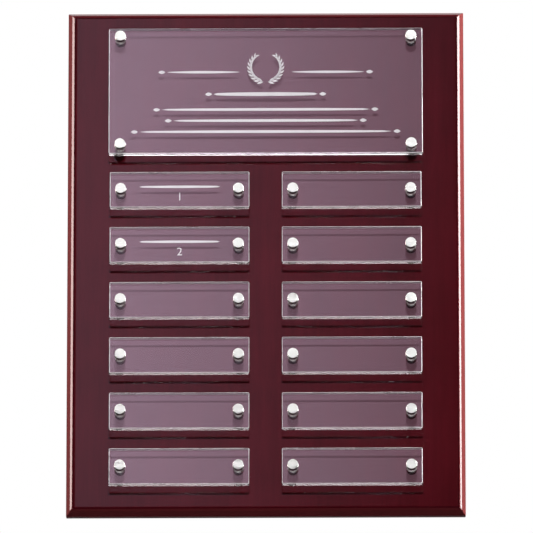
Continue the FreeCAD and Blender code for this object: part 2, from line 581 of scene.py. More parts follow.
def barrel_tree():
    """Turned barrels with a bore right through."""
    inputs, outputs = shape_tree(
        "Turned barrels",
        {
            "Diameter": 0.008,
            "Bore": 0.0036,
            "Front": -0.0207,
            "Back": -0.0127,
            "Chamfer": 0.001,
            "Rim break": 0.0002,
            "Sides": 72,
        },
    )
    radius, bore = inputs["Diameter"] / 2.0, inputs["Bore"] / 2.0
    rim, chamfer = inputs["Rim break"], inputs["Chamfer"]
    front, back = inputs["Front"], inputs["Back"]
    profile = [
        (bore, front + rim),
        (bore + rim, front),
        (radius - chamfer, front),
        (radius, front + chamfer),
        (radius, back - rim),
        (radius - rim, back),
        (bore + rim, back),
        (bore, back - rim),
        (bore, front + rim),
    ]
    return set_on_points(inputs, outputs, lathe(inputs.tree, profile, inputs["Sides"]))


def bolt_tree():
    """Headless bolts with a point in the wood."""
    inputs, outputs = shape_tree(
        "Hanger bolts",
        {
            "Thread diameter": 0.0035,
            "Thread depth": 0.0004,
            "Thread pitch": 0.0008,
            "Front": -0.016,
            "Length": 0.012,
            "Point": 0.0016,
        },
    )
    start, reach, point = inputs["Front"], inputs["Length"], inputs["Point"]
    rod = threaded_rod(inputs, start, reach, point, sides=16, rows_in_turn=4)
    return set_on_points(inputs, outputs, rod)


def rule_tree():
    """A ruled line that swells in the middle and runs out at both ends."""
    inputs, outputs = shape_tree(
        "Swelled rule", {"Length": 0.1, "Half width": 0.0004, "Fullness": 0.3, "Thickness": 0.0001}
    )

    def centre(along):
        return vector_of(x=(along - 0.5) * inputs["Length"])

    def across(along):
        swell = calc("MAXIMUM", calc("SINE", along * math.pi), 0.0)
        swell = calc("POWER", swell, inputs["Fullness"])
        return vector_of(z=swell * short_of_ends(along) * inputs["Half width"])

    rule = blade(inputs.tree, centre, across, inputs["Thickness"], steps=33)
    return set_on_points(inputs, outputs, rule)


def laurel_tree():
    """Two laurel branches that curve up from a shared foot."""
    inputs, outputs = shape_tree(
        "Laurel branches",
        {
            "Radius": 0.01,
            "Foot": -1.45,
            "Tip": 0.95,
            "Leaf pairs": 8,
            "Leaf length": 0.005,
            "Leaf half width": 0.0009,
            "Leaf spread": 0.5,
            "Stem half width": 0.0002,
            "Thickness": 0.0001,
        },
    )
    tree, radius, thickness = inputs.tree, inputs["Radius"], inputs["Thickness"]
    # How far along its step the first leaf of a row stands, outside and inside the curve
    leaf_starts = {1.0: 0.5, -1.0: 0.15}
    # Length that a leaf loses on its way up, and the power that moves its widest part towards its foot
    shrink, leaf_swell = 0.32, 0.8

    def on_branch(side, way):
        turn = inputs["Foot"] + way * (inputs["Tip"] - inputs["Foot"])
        return turn, vector_of(x=radius * side * calc("COSINE", turn), z=radius * calc("SINE", turn))

    def leaf_across(along):
        swell = calc("MAXIMUM", calc("SINE", calc("POWER", along, leaf_swell) * math.pi), 0.0)
        return vector_of(z=swell * short_of_ends(along) * inputs["Leaf half width"])

    def leaf_centre(along):
        return vector_of(x=along * inputs["Leaf length"])

    leaf = blade(tree, leaf_centre, leaf_across, thickness, steps=13)
    parts = []
    for side in (1.0, -1.0):

        def stem_centre(along, side=side):
            return on_branch(side, along)[1]

        def stem_across(along, side=side):
            width = inputs["Stem half width"] * short_of_ends(along)
            turn = on_branch(side, along)[0]
            return vector_of(x=width * side * calc("COSINE", turn), z=width * calc("SINE", turn))

        parts.append(blade(tree, stem_centre, stem_across, thickness, steps=41))
        for spread, start in leaf_starts.items():
            line = add(tree, "GeometryNodeMeshLine", {"Count": inputs["Leaf pairs"]})[0]
            way = (add(tree, "GeometryNodeInputIndex")[0] + start) / inputs["Leaf pairs"]
            turn, place = on_branch(side, way)
            points = add(tree, "GeometryNodeSetPosition", {"Geometry": line, "Position": place})[0]
            aim = turn + math.pi / 2 + inputs["Leaf spread"] * spread
            if side < 0:
                aim = math.pi - aim
            size = 1.0 - way * shrink
            placing = {
                "Points": points,
                "Instance": leaf,
                "Rotation": vector_of(y=aim * -1.0),
                "Scale": vector_of(size, 1.0, size),
            }
            leaves = add(tree, "GeometryNodeInstanceOnPoints", placing)[0]
            parts.append(add(tree, "GeometryNodeRealizeInstances", {"Geometry": leaves})[0])
    return set_on_points(inputs, outputs, join(*parts))


def mesh_from_tree(name, tree, points, values):
    """Run a Geometry Nodes tree on some (x, z) points, and return the result as a plain mesh."""
    seed = bpy.data.meshes.new(name)
    seed.from_pydata([(x, 0.0, z) for x, z in points], [], [])
    maker = new_object(name, seed)
    modifier = maker.modifiers.new("Shape", "NODES")
    modifier.node_group = tree
    for item in tree.interface.items_tree:
        if item.item_type == "SOCKET" and item.in_out == "INPUT" and item.name in values:
            modifier[item.identifier] = values[item.name]
    depsgraph = bpy.context.evaluated_depsgraph_get()
    mesh = bpy.data.meshes.new_from_object(maker.evaluated_get(depsgraph))
    maker.modifiers.remove(modifier)
    bpy.data.objects.remove(maker)
    if not mesh.polygons:
        raise RuntimeError(f"{name}: the node tree made no faces")
    return mesh


# Shapes made by mesh code


def rounded_rectangle(half_width, half_height, radius, steps):
    """Points of a rectangle with round corners, as (x, z) pairs."""
    points = []
    for corner, (across, up) in enumerate(((1, 1), (-1, 1), (-1, -1), (1, -1))):
        for step in range(steps + 1):
            turn = math.pi / 2 * (corner + step / steps)
            x = across * (half_width - radius) + radius * math.cos(turn)
            z = up * (half_height - radius) + radius * math.sin(turn)
            points.append((x, z))
    return points


def circle(x, z, radius, steps):
    """Points of a circle, as (x, z) pairs."""
    turns = [math.tau * (step + 0.5) / steps for step in range(steps)]
    return [(x + radius * math.cos(turn), z + radius * math.sin(turn)) for turn in turns]


def soften(points, radii, steps=5):
    """Round the corners of an open line of 2D points. Each radius belongs to one inner point."""
    line = [points[0]]
    for index, radius in enumerate(radii, 1):
        before, here, after = (Vector(points[index + shift]) for shift in (-1, 0, 1))
        to_before, to_after = (before - here).normalized(), (after - here).normalized()
        half_turn = (math.pi - to_before.angle(to_after)) / 2
        reach = radius * math.tan(half_turn)
        if radius == 0 or reach < MERGE_DISTANCE:
            line.append(tuple(here))
            continue
        start, end = here + to_before * reach, here + to_after * reach
        for step in range(steps + 1):
            t = step / steps
            line.append(tuple(start * (1 - t) ** 2 + here * 2 * t * (1 - t) + end * t * t))
    return line + [points[-1]]


def add_ring(bm, points, y):
    """A ring of vertices at one depth."""
    return [bm.verts.new((x, y, z)) for x, z in points]


def add_wall(bm, rings):
    """Smooth quads between rings that follow each other."""
    for first, second in zip(rings, rings[1:]):
        count = len(first)
        for index in range(count):
            after = (index + 1) % count
            face = bm.faces.new((first[index], first[after], second[after], second[index]))
            face.smooth = True


def fill_flat(bm, rings):
    """A flat face between an outer ring and any rings inside it."""
    edges = []
    for ring in rings:
        for index, vertex in enumerate(ring):
            pair = (vertex, ring[(index + 1) % len(ring)])
            edges.append(bm.edges.get(pair) or bm.edges.new(pair))
    made = bmesh.ops.triangle_fill(bm, use_beauty=True, use_dissolve=False, edges=edges, normal=(0, 1, 0))
    for face in made["geom"]:
        if isinstance(face, bmesh.types.BMFace):
            face.smooth = False


def close_up(bm, name):
    """Turn the faces outwards, and stop if the skin has a hole."""
    bmesh.ops.recalc_face_normals(bm, faces=bm.faces)
    if any(not edge.is_manifold for edge in bm.edges):
        raise RuntimeError(f"{name} is not closed")


def mesh_from(bm, name, *materials):
    """Turn mesh code's result into a mesh with its materials."""
    mesh = bpy.data.meshes.new(name)
    bm.to_mesh(mesh)
    bm.free()
    for material in materials:
        mesh.materials.append(material)
    return mesh


def clean_up(mesh):
    """Turn the faces of a mesh outwards."""
    bm = bmesh.new()
    bm.from_mesh(mesh)
    bmesh.ops.dissolve_degenerate(bm, edges=bm.edges, dist=MERGE_DISTANCE / 10)
    bmesh.ops.recalc_face_normals(bm, faces=bm.faces)
    bm.to_mesh(mesh)
    bm.free()


def add_piece(name, mesh, node, slot=None):
    """Put a finished mesh in the scene, on its node's body, and in the node's place if it has a slot."""
    mesh.name = name
    piece = new_object(name, mesh)
    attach(piece, frame["nodes"][node]["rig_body"])
    if slot:
        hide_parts(node)


def add_turned(name, tree, points, values, node, slot):
    """Run a tree, and put what it makes in the place of a node."""
    mesh = mesh_from_tree(name, tree, points, values)
    clean_up(mesh)
    mesh.shade_smooth()
    mesh.set_sharp_from_angle(angle=SHARP_ANGLE)
    add_piece(name, mesh, node, slot)


# Materials

# Where one finish of the board fades into the next, in metres from the bevel's inner edge or in depth
BEVEL_FADE = (0.0007, 0.0001)
MITRE_BLUR = 0.0001
# Where the painted shade line along the bevel's inner edge lies, and how far it reaches
ARRIS_SHADE_OFFSET = 0.0001
ARRIS_SHADE_REACH = (0.0004, 0.0008)
FLANK_DEPTHS = (-0.0068, -0.0064)
BACK_DEPTHS = (-0.0003, -0.0001)

# The same where the painted shade on the header's top arris fades in, and round a turned end face
TOP_SHADE_FADE = (0.0008, 0.0004)
FACE_FADE = (0.00002, 0.00008)

# Lowest and highest roughness of each finish that handling has marked
CLEAR_ROUGHNESS = (0.0, 0.035)
EDGE_ROUGHNESS = (0.01, 0.06)
ARRIS_ROUGHNESS = (0.25, 0.45)
ZINC_ROUGHNESS = (0.34, 0.50)
WOOD_ROUGHNESS = (0.42, 0.55)

# How dark the painted shade line along the arris is
ARRIS_SHADE_STRENGTH = 0.9
WOOD_SPECULAR = 0.02
BACK_LACQUER = 0.12
LACQUER_IOR = 1.5
ACRYLIC_IOR = 1.49

# How far a clear face is turned away where its shade starts and is full, and the light that a face passes
SHADE_START = (0.30, 0.55)
FACE_SHADE = 0.97


def noise(place, scale, detail, roughness=0.5):
    """A noise texture."""
    inputs = {"Vector": place, "Scale": scale, "Detail": detail, "Roughness": roughness}
    return add(place.tree, "ShaderNodeTexNoise", inputs)


def grain_group():
    """Streaks along Z, broad clouds, and the fine pores of the wood."""
    inputs, outputs = new_group(
        "Wood grain",
        "ShaderNodeTree",
        {"Vector": "Vector", "Streaks in a metre": 260.0, "Stretch": 0.07},
        {"Figure": "Float", "Pores": "Float"},
    )
    fineness = inputs["Streaks in a metre"]
    sway = scaled(noise(inputs["Vector"], 9.0, 2.0)["Color"], 0.006)
    place = inputs["Vector"] * vector_of(1.0, 1.0, inputs["Stretch"]) + sway
    streaks = noise(place, fineness, 5.0, 0.62)["Fac"]
    bands = noise(place, fineness * 0.18, 2.0)["Fac"]
    clouds = noise(inputs["Vector"], 22.0, 3.0, 0.55)["Fac"]
    pores = noise(place, fineness * 5.5, 1.0)["Fac"]
    # The three shares add up to 1
    figure = streaks * 0.38 + bands * 0.27 + clouds * 0.35
    feed(outputs["Figure"], map_range(figure, 0.36, 0.64, 0.0, 1.0))
    feed(outputs["Pores"], map_range(pores, 0.60, 0.74, 0.0, 1.0))
    return inputs.tree


def wear_group():
    """Faint scratches and handling marks, as a share that roughness can follow and a height."""
    inputs, outputs = new_group(
        "Handling marks",
        "ShaderNodeTree",
        {"Vector": "Vector", "Scale": 900.0, "Low": 0.02, "High": 0.08},
        {"Roughness": "Float", "Height": "Float"},
    )
    place, scale = inputs["Vector"], inputs["Scale"]
    smudge = noise(place, scale * 0.05, 3.0)["Fac"]
    scratch = noise(place * (1.0, 1.0, 0.06), scale, 2.0, 0.7)["Fac"]
    marks = map_range(scratch, 0.58, 0.72, 0.0, 1.0)
    both = smudge * 0.65 + marks * 0.35
    feed(outputs["Roughness"], map_range(both, 0.2, 0.9, inputs["Low"], inputs["High"]))
    feed(outputs["Height"], scratch)
    return inputs.tree


def turned_group():
    """Which part of a turned piece is an end face, and the fine rings that turning leaves on it."""
    inputs, outputs = new_group(
        "Turning marks",
        "ShaderNodeTree",
        {"Place": "Vector", "Front": 0.0, "Back": 0.0, "Ring pitch": 0.0003},
        {"Face": "Float", "Rings": "Float"},
    )
    place = inputs["Place"]
    depth = add(inputs.tree, "ShaderNodeSeparateXYZ", {0: place})["Y"]
    from_ends = [calc("ABSOLUTE", depth - inputs[end]) for end in ("Front", "Back")]
    face = map_range(calc("MINIMUM", *from_ends), *FACE_FADE, 1.0, 0.0)
    from_axis = calc("LENGTH", place * (1.0, 0.0, 1.0))
    wave = calc("SINE", from_axis / inputs["Ring pitch"] * math.tau)
    feed(outputs["Face"], face)
    feed(outputs["Rings"], wave * 0.5 * face)
    return inputs.tree


def place_group(tree, name, maker, values):
    """Put a shared group in a tree with its own values. It is built once."""
    group = bpy.data.node_groups.get(name) or maker()
    return add(tree, "ShaderNodeGroup", values, node_tree=group)


def handling_marks(place, scale, roughness):
    """The shared wear, with the lowest and highest roughness of this finish."""
    values = {"Vector": place, "Scale": scale, "Low": roughness[0], "High": roughness[1]}
    return place_group(place.tree, "Handling marks", wear_group, values)


def new_material(name):
    """A material, its empty tree, and the Object coordinates in it."""
    material = bpy.data.materials.new(name)
    material.use_nodes = True
    tree = material.node_tree
    tree.nodes.clear()
    return material, tree, add(tree, "ShaderNodeTexCoord")["Object"]


def show(tree, shader, kind="ShaderNodeOutputMaterial"):
    """End a material's tree, or a world's, in this shader."""
    add(tree, kind, {"Surface": shader})


def principled(tree, values):
    """The plain Principled shader with these inputs."""
    return add(tree, "ShaderNodeBsdfPrincipled", values)[0]


def mix_shaders(amount, first, second):
    """A Mix Shader node."""
    return add(amount.tree, "ShaderNodeMixShader", {0: amount, 1: first, 2: second})[0]


def mix_colours(amount, first, second):
    """A Mix node for colours."""
    values = {0: amount}
    for socket, value in ((6, first), (7, second)):
        values[socket] = value if isinstance(value, Value) else (*value, 1.0)
    return add(amount.tree, "ShaderNodeMix", values, data_type="RGBA")[2]


def darker(tone, amount):
    """A colour at this share of its brightness."""
    return [amount * value for value in tone]


def bump(height, strength, distance):
    """A Bump node."""
    values = {"Strength": strength, "Distance": distance, "Height": height}
    return add(height.tree, "ShaderNodeBump", values)[0]


def light_path(tree):
    """What kind of ray looks, and how far it has come."""
    return add(tree, "ShaderNodeLightPath")


def first_sight(path):
    """1 until a ray has left a matt surface, and 0 from then on."""
    return path["Diffuse Depth"] < 0.5


def rosewood(settings):
    """Red stained wood under clear gloss lacquer, duller on the back, with painted light and a painted glow
    where a plate is in front of it.
    """
    material, tree, place = new_material("Rosewood lacquer")
    grain = place_group(tree, "Wood grain", grain_group, {"Vector": place})
    figure, pores = grain["Figure"], grain["Pores"]
    axes = add(tree, "ShaderNodeSeparateXYZ", {0: place})
    side_inset = board_high.x - calc("ABSOLUTE", axes["X"])
    end_inset = board_high.z - calc("ABSOLUTE", axes["Z"])
    inset = calc("MINIMUM", side_inset, end_inset)

    # Stain: the figured face and the bevel with its grain, with a painted dark line of shade along the arris
    # between them
    width = settings.bevel_width
    bevel = map_range(inset, *(width - fade for fade in BEVEL_FADE), 1.0, 0.0, smooth=True)
    on_end = map_range(side_inset - end_inset, -MITRE_BLUR, MITRE_BLUR, 0.0, 1.0)
    flank = map_range(axes["Y"], *FLANK_DEPTHS, 0.0, 1.0)
    # The long-grain bevels are lighter partly as painted light for the side lamps.
    edge = mix_colours(on_end, settings.long_grain, settings.end_grain)
    edge = mix_colours(figure * 0.3, edge, settings.light)
    edge = mix_colours(flank * 0.8, edge, settings.light)
    base = mix_colours(bevel, mix_colours(figure, settings.dark, settings.light), edge)
    # Painted shade: a dark line along the arris, where the lacquer is also taken away.
    from_arris = calc("ABSOLUTE", inset - (width + ARRIS_SHADE_OFFSET))
    pooled = map_range(from_arris, *ARRIS_SHADE_REACH, ARRIS_SHADE_STRENGTH, 0.0, smooth=True)
    base = mix_colours(pooled, base, settings.pooled)
    base = mix_colours(pores * 0.35, base, settings.dark)

    # Painted light: the lacquer seen through a plate is lightened with a painted veil, and painted near white
    # where a ray ran along inside a plate
    path = light_path(tree)
    behind, first = path["Is Transmission Ray"], first_sight(path)
    base = base + scaled(settings.through_plates, behind)
    # Painted light: near white lacquer for rays that ran inside a plate, which makes the plates' edges glow.
    guided = ((path["Ray Depth"] > SOME_WAY) + (path["Ray Depth"] > LONG_WAY)) * 0.5
    base = mix_colours(behind * guided * first, base, settings.along_plates)
    # Painted glow behind the plates, stronger towards the bottom, lit even in shadow.
    lowness = map_range(axes["Z"], board_low.z, 0.5 * board_high.z, 1.0, 0.0)
    painted_glow = mix_colours(lowness, settings.high_veil, settings.low_veil)

    # Lacquer: rubbed on the face, full on the bevel, thin on the back and over the painted shade line at the
    # arris
    lacquer = bevel * (1.0 - settings.face_lacquer) + settings.face_lacquer
    lacquer = lacquer * (1.0 - pooled)
    values = {
        "Base Color": base,
        "Emission Color": scaled(painted_glow, behind * first),
        "Emission Strength": 1.0,
        "Roughness": map_range(figure, 0.0, 1.0, *WOOD_ROUGHNESS),
        "Specular IOR Level": WOOD_SPECULAR,
        "Coat Weight": map_range(axes["Y"], *BACK_DEPTHS, lacquer, BACK_LACQUER),
        "Coat Roughness": settings.gloss,
        "Coat IOR": LACQUER_IOR,
        "Normal": bump(pores, strength=0.25, distance=0.00004),
    }
    show(tree, principled(tree, values))
    return material


def acrylic(name, tint, clearness, roughness, edge_shade, top_tint=None):
    """Clear cast plastic. Lamps shine through its faces, and its edges throw a line of shade."""
    material, tree, place = new_material(name)
    # Painted shade: the arris darkens towards the header's top edge.
    if top_tint:
        height = add(tree, "ShaderNodeSeparateXYZ", {0: place})["Z"]
        top = map_range(height, *(header_high.z - inset for inset in TOP_SHADE_FADE), 0.0, 1.0)
        base = mix_colours(top, tint, top_tint)
    else:
        base = (*tint, 1.0)
    values = {
        "Base Color": base,
        "Roughness": handling_marks(place, 700.0, roughness)["Roughness"],
        "IOR": ACRYLIC_IOR,
        "Transmission Weight": clearness,
    }
    facing = add(tree, "ShaderNodeLayerWeight", {"Blend": 0.5})["Facing"]
    passing = map_range(facing, *SHADE_START, FACE_SHADE, edge_shade)
    clear = add(tree, "ShaderNodeBsdfTransparent", {"Color": passing})[0]
    show(tree, mix_shaders(light_path(tree)["Is Shadow Ray"], principled(tree, values), clear))
    return material


def turned_metal(name, base, settings, front, back, neck=None):
    """Bright plated metal: turned end faces at two depths, polished sides, and painted shade in the neck if
    it has one.
    """
    material, tree, place = new_material(name)
    own = add(tree, "ShaderNodeAttribute", attribute_name=TURNED_PLACE)["Vector"]
    values = {"Place": own, "Front": front, "Back": back, "Ring pitch": settings.ring_pitch}
    turned = place_group(tree, "Turning marks", turned_group, values)
    side = settings.side_roughness
    wear = handling_marks(place, 2500.0, (side * 0.7, side * 1.5))
    tone = mix_colours(wear["Height"], darker(base, 0.94), base)
    # Painted shade: the neck's base colour is darkened, standing in for the shade in the groove.
    if neck:
        depth = add(tree, "ShaderNodeSeparateXYZ", {0: own})["Y"]
        inside = (depth > neck[0]) * (depth < neck[1])
        tone = mix_colours(inside, tone, darker(base, settings.neck_shade))
    values = {
        "Base Color": tone,
        "Metallic": 1.0,
        "Roughness": map_range(turned["Face"], 0.0, 1.0, wear["Roughness"], settings.face_roughness),
        "Normal": bump(turned["Rings"], strength=0.12, distance=0.00001),
    }
    show(tree, principled(tree, values))
    return material


def zinc_steel(base):
    """Dull zinc plated steel with a spangle."""
    material, tree, place = new_material("Zinc plated steel")
    wear = handling_marks(place, 1800.0, ZINC_ROUGHNESS)
    spangle = add(tree, "ShaderNodeTexVoronoi", {"Vector": place, "Scale": 1600.0})["Distance"]
    values = {
        "Base Color": mix_colours(spangle, darker(base, 0.85), base),
        "Metallic": 1.0,
        "Roughness": wear["Roughness"],
        "Normal": bump(wear["Height"], strength=0.2, distance=0.00001),
    }
    show(tree, principled(tree, values))
    return material


def frosted(settings):
    """The white frost of an engraved surface."""
    material, tree, place = new_material("Frosted engraving")
    sand = noise(place, 9000.0, 2.0)["Fac"]
    values = {
        "Base Color": mix_colours(sand, darker(settings.white, 0.93), settings.white),
        "Roughness": map_range(sand, 0.3, 0.7, 0.6, 0.8),
        "Normal": bump(sand, strength=0.3, distance=0.00002),
    }
    show(tree, principled(tree, values))
    return material


# Pieces


def board_profile(settings):
    """The board's edge from the back face round to the front face, as (inset, y) pairs."""
    front = board_low.y
    knee_inset = settings.bevel_width - settings.inner_bevel_width
    knee_y = front + settings.inner_bevel_width * math.tan(settings.inner_bevel_angle)
    line = [
        (settings.back_chamfer + FACE_MARGIN, 0.0),
        (settings.back_chamfer, 0.0),
        (0.0, -settings.back_chamfer),
        (0.0, front + settings.bevel_depth),
        (knee_inset, knee_y),
        (settings.bevel_width, front),
        (settings.bevel_width + 2 * FACE_MARGIN, front),
    ]
    edge = settings.edge_round
    return soften(line, [edge / 2, edge, edge, settings.knee_round, settings.arris_round])


def slot_outline(radius, half_width, entry_z, top_z, steps=24):
    """A round hole with a round-ended slot that runs up from it."""
    start = math.asin(half_width / radius)
    way_round = math.tau - 2 * start
    lower = [math.pi / 2 + start + way_round * step / (2 * steps) for step in range(2 * steps + 1)]
    points = [(radius * math.cos(turn), entry_z + radius * math.sin(turn)) for turn in lower]
    upper = [math.pi * step / steps for step in range(steps + 1)]
    return points + [(half_width * math.cos(turn), top_z + half_width * math.sin(turn)) for turn in upper]


def build_board(settings, material):
    """The board: a profile carried round its outline, with its face, back, hanging slot and pilot holes."""
    bm = bmesh.new()
    half_width, half_height = board_high.x, board_high.z
    rings = []
    for inset, y in board_profile(settings):
        corner = settings.mitre_round
        outline = rounded_rectangle(half_width - inset, half_height - inset, corner, steps=4)
        rings.append(add_ring(bm, outline, y))
    add_wall(bm, rings)
    pilots = []
    for x, z in CAP_PLACES:
        outline = circle(x, z, settings.pilot_diameter / 2, steps=24)
        mouth = add_ring(bm, outline, board_low.y)
        floor = add_ring(bm, outline, board_low.y + settings.pilot_depth)
        add_wall(bm, [mouth, floor])
        fill_flat(bm, [floor])
        pilots.append(mouth)
    fill_flat(bm, [rings[-1]] + pilots)
    top_z = half_height - settings.slot_drop
    entry_z = top_z - settings.slot_travel
    outline = slot_outline(settings.entry_diameter / 2, settings.slot_width / 2, entry_z, top_z)
    mouth = add_ring(bm, outline, 0.0)
    lip = add_ring(bm, outline, -settings.slot_web)
    half_head = settings.head_width / 2
    head_outline = slot_outline(half_head, half_head * NEARLY_ALL, entry_z, top_z)
    ceiling = add_ring(bm, head_outline, -settings.slot_web)
    bottom = add_ring(bm, head_outline, -settings.slot_depth)
    add_wall(bm, [mouth, lip])
    add_wall(bm, [ceiling, bottom])
    fill_flat(bm, [ceiling, lip])
    fill_flat(bm, [bottom])
    fill_flat(bm, [rings[0], mouth])
    close_up(bm, "The board")
    return mesh_from(bm, "rosewood_board", material)


def build_plate(node, settings, face_material, edge_material, arris_material):
    """A clear plate with round holes. Faces, polished edges and scraped arrises have a material each."""
    low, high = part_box(node)
    centre = (low + high) / 2
    bm = bmesh.new()

    def depths(radius, steps):
        """A rounded edge from the front face to the back face, as (inset, y) pairs."""
        quarter = [math.pi / 2 * step / steps for step in range(steps + 1)]
        front = [(radius * (1 - math.sin(turn)), low.y + radius * (1 - math.cos(turn))) for turn in quarter]
        return front + [(inset, low.y + high.y - y) for inset, y in reversed(front)]

    rings = []
    arris_steps = 4
    for inset, y in depths(settings.edge_round, arris_steps):
        half_width, half_height = (high.x - low.x) / 2 - inset, (high.z - low.z) / 2 - inset
        outline = rounded_rectangle(half_width, half_height, settings.corner_round - inset, steps=5)
        rings.append(add_ring(bm, [(centre.x + x, centre.z + z) for x, z in outline], y))
    add_wall(bm, rings)
    around = len(rings[0])
    for index, face in enumerate(bm.faces):
        face.material_index = 1 if index // around == arris_steps else 2
    fronts, backs = [rings[0]], [rings[-1]]
    for x, z in holes_of(node):
        walls = []
        for inset, y in depths(settings.hole_round, steps=2):
            outline = circle(x, z, settings.hole_diameter / 2 + inset, steps=48)
            walls.append(add_ring(bm, outline, y))
        add_wall(bm, walls)
        fronts.append(walls[0])
        backs.append(walls[-1])
    fill_flat(bm, fronts)
    fill_flat(bm, backs)
    close_up(bm, node)
    return mesh_from(bm, node, face_material, edge_material, arris_material)


def gather(name, parts):
    """Join several meshes into one."""
    bm = bmesh.new()
    for mesh, place in parts:
        moved = mesh.copy()
        moved.transform(Matrix.Translation(place))
        bm.from_mesh(moved)
        bpy.data.meshes.remove(moved)
    whole = bpy.data.meshes.new(name)
    bm.to_mesh(whole)
    bm.free()
    whole.materials.append(parts[0][0].materials[0])
    return whole


def numeral(text, settings, material):
    """A plain numeral, standing upright and centred."""
    letters = bpy.data.curves.new("numeral", "FONT")
    letters.body = text
    letters.size = settings.numeral_height
    letters.align_x = "CENTER"
    letters.align_y = "CENTER"
    letters.extrude = settings.depth / 2
    letters.materials.append(material)
    holder = new_object("numeral", letters)
    mesh = bpy.data.meshes.new_from_object(holder.evaluated_get(bpy.context.evaluated_depsgraph_get()))
    bpy.data.objects.remove(holder)
    mesh.transform(Matrix.Rotation(math.pi / 2, 4, "X"))
    mesh.transform(Matrix.Translation((0.0, settings.depth / 2, 0.0)))
    bm = bmesh.new()
    bm.from_mesh(mesh)
    bmesh.ops.remove_doubles(bm, verts=bm.verts, dist=MERGE_DISTANCE)
    bmesh.ops.recalc_face_normals(bm, faces=bm.faces)
    bm.to_mesh(mesh)
    bm.free()
    return mesh


def thread_sizes(settings):
    """The sizes of the thread that studs and bolts share."""
    return {
        "Thread diameter": settings.thread_diameter,
        "Thread depth": settings.thread_depth,
        "Thread pitch": settings.thread_pitch,
    }


# Operators


class PLAQUE_OT_board(bpy.types.Operator):
    """Make the lacquered board with its mitred bevel and hanging slot"""

    bl_idname = "plaque.board"
    bl_label = "Board"

    def execute(self, context):
        settings = context.scene.plaque_board
        mesh = build_board(settings, rosewood(settings))
        add_piece("rosewood_board", mesh, BOARD_NODE, "rosewood_lacquer")
        return {"FINISHED"}


class PLAQUE_OT_plates(bpy.types.Operator):
    """Make the clear header plate and name plates"""

    bl_idname = "plaque.plates"
    bl_label = "Clear plates"

    def execute(self, context):
        settings = context.scene.plaque_plates
        shade, tint, top_tint = settings.edge_shade, settings.edge_tint, settings.top_tint
        face = acrylic("Clear acrylic", settings.tint, settings.clearness, CLEAR_ROUGHNESS, shade)
        edge = acrylic("Polished acrylic edge", tint, settings.edge_clearness, EDGE_ROUGHNESS, shade)
        scraped = settings.arris_clearness
        arris = acrylic("Scraped acrylic arris", tint, scraped, ARRIS_ROUGHNESS, shade, top_tint)
        for node in [HEADER_NODE] + NAME_PLATE_NODES:
            mesh = build_plate(node, settings, face, edge, arris)
            add_piece("clear_" + node, mesh, node, "clear_acrylic")
        return {"FINISHED"}


class PLAQUE_OT_caps(bpy.types.Operator):
    """Turn the caps with their threaded studs"""

    bl_idname = "plaque.caps"
    bl_label = "Caps"

    def execute(self, context):
        settings = context.scene.plaque_hardware
        neck = [cap_low.y + end * settings.cap_neck for end in NECK_SPAN]
        material = turned_metal("Polished chrome", settings.chrome, settings, cap_low.y, header_low.y, neck)
        tree = cap_tree()
        for node in CAP_NODES:
            low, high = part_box(node)
            values = {
                "Diameter": settings.cap_diameter,
                "Face depth": low.y,
                "Seat depth": header_low.y,
                "Stud end": high.y,
                "Chamfer": settings.cap_chamfer,
                "Rim break": settings.rim_break,
                "Neck": settings.cap_neck,
                "Material": material,
                **thread_sizes(settings),
            }
            point = (middle(node).x, middle(node).z)
            add_turned("turned_" + node, tree, [point], values, node, "polished_chrome")
        return {"FINISHED"}


class PLAQUE_OT_barrels(bpy.types.Operator):
    """Turn the barrels that the plates lie on"""

    bl_idname = "plaque.barrels"
    bl_label = "Barrels"

    def execute(self, context):
        settings = context.scene.plaque_hardware
        material = turned_metal("Polished nickel", settings.nickel, settings, header_high.y, board_low.y)
        tree = barrel_tree()
        for node in BARREL_NODES:
            low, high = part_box(node)
            points = [(x, z) for x, z in CAP_PLACES if low.x < x < high.x and low.z < z < high.z]
            values = {
                "Diameter": settings.barrel_diameter,
                "Bore": settings.bore_diameter,
                "Front": low.y,
                "Back": high.y,
                "Chamfer": settings.barrel_chamfer,
                "Rim break": settings.rim_break,
                "Material": material,
            }
            add_turned("turned_" + node, tree, points, values, node, "polished_nickel")
        return {"FINISHED"}


class PLAQUE_OT_bolts(bpy.types.Operator):
    """Make the threaded bolts between the barrels and the board"""

    bl_idname = "plaque.bolts"
    bl_label = "Bolts"

    def execute(self, context):
        settings = context.scene.plaque_hardware
        values = {
            **thread_sizes(settings),
            "Front": bolts_low.y,
            "Length": bolts_high.y - bolts_low.y,
            "Point": settings.bolt_point,
            "Material": zinc_steel(settings.zinc),
        }
        add_turned("threaded_bolts", bolt_tree(), CAP_PLACES, values, BOLTS_NODE, "zinc_steel")
        return {"FINISHED"}


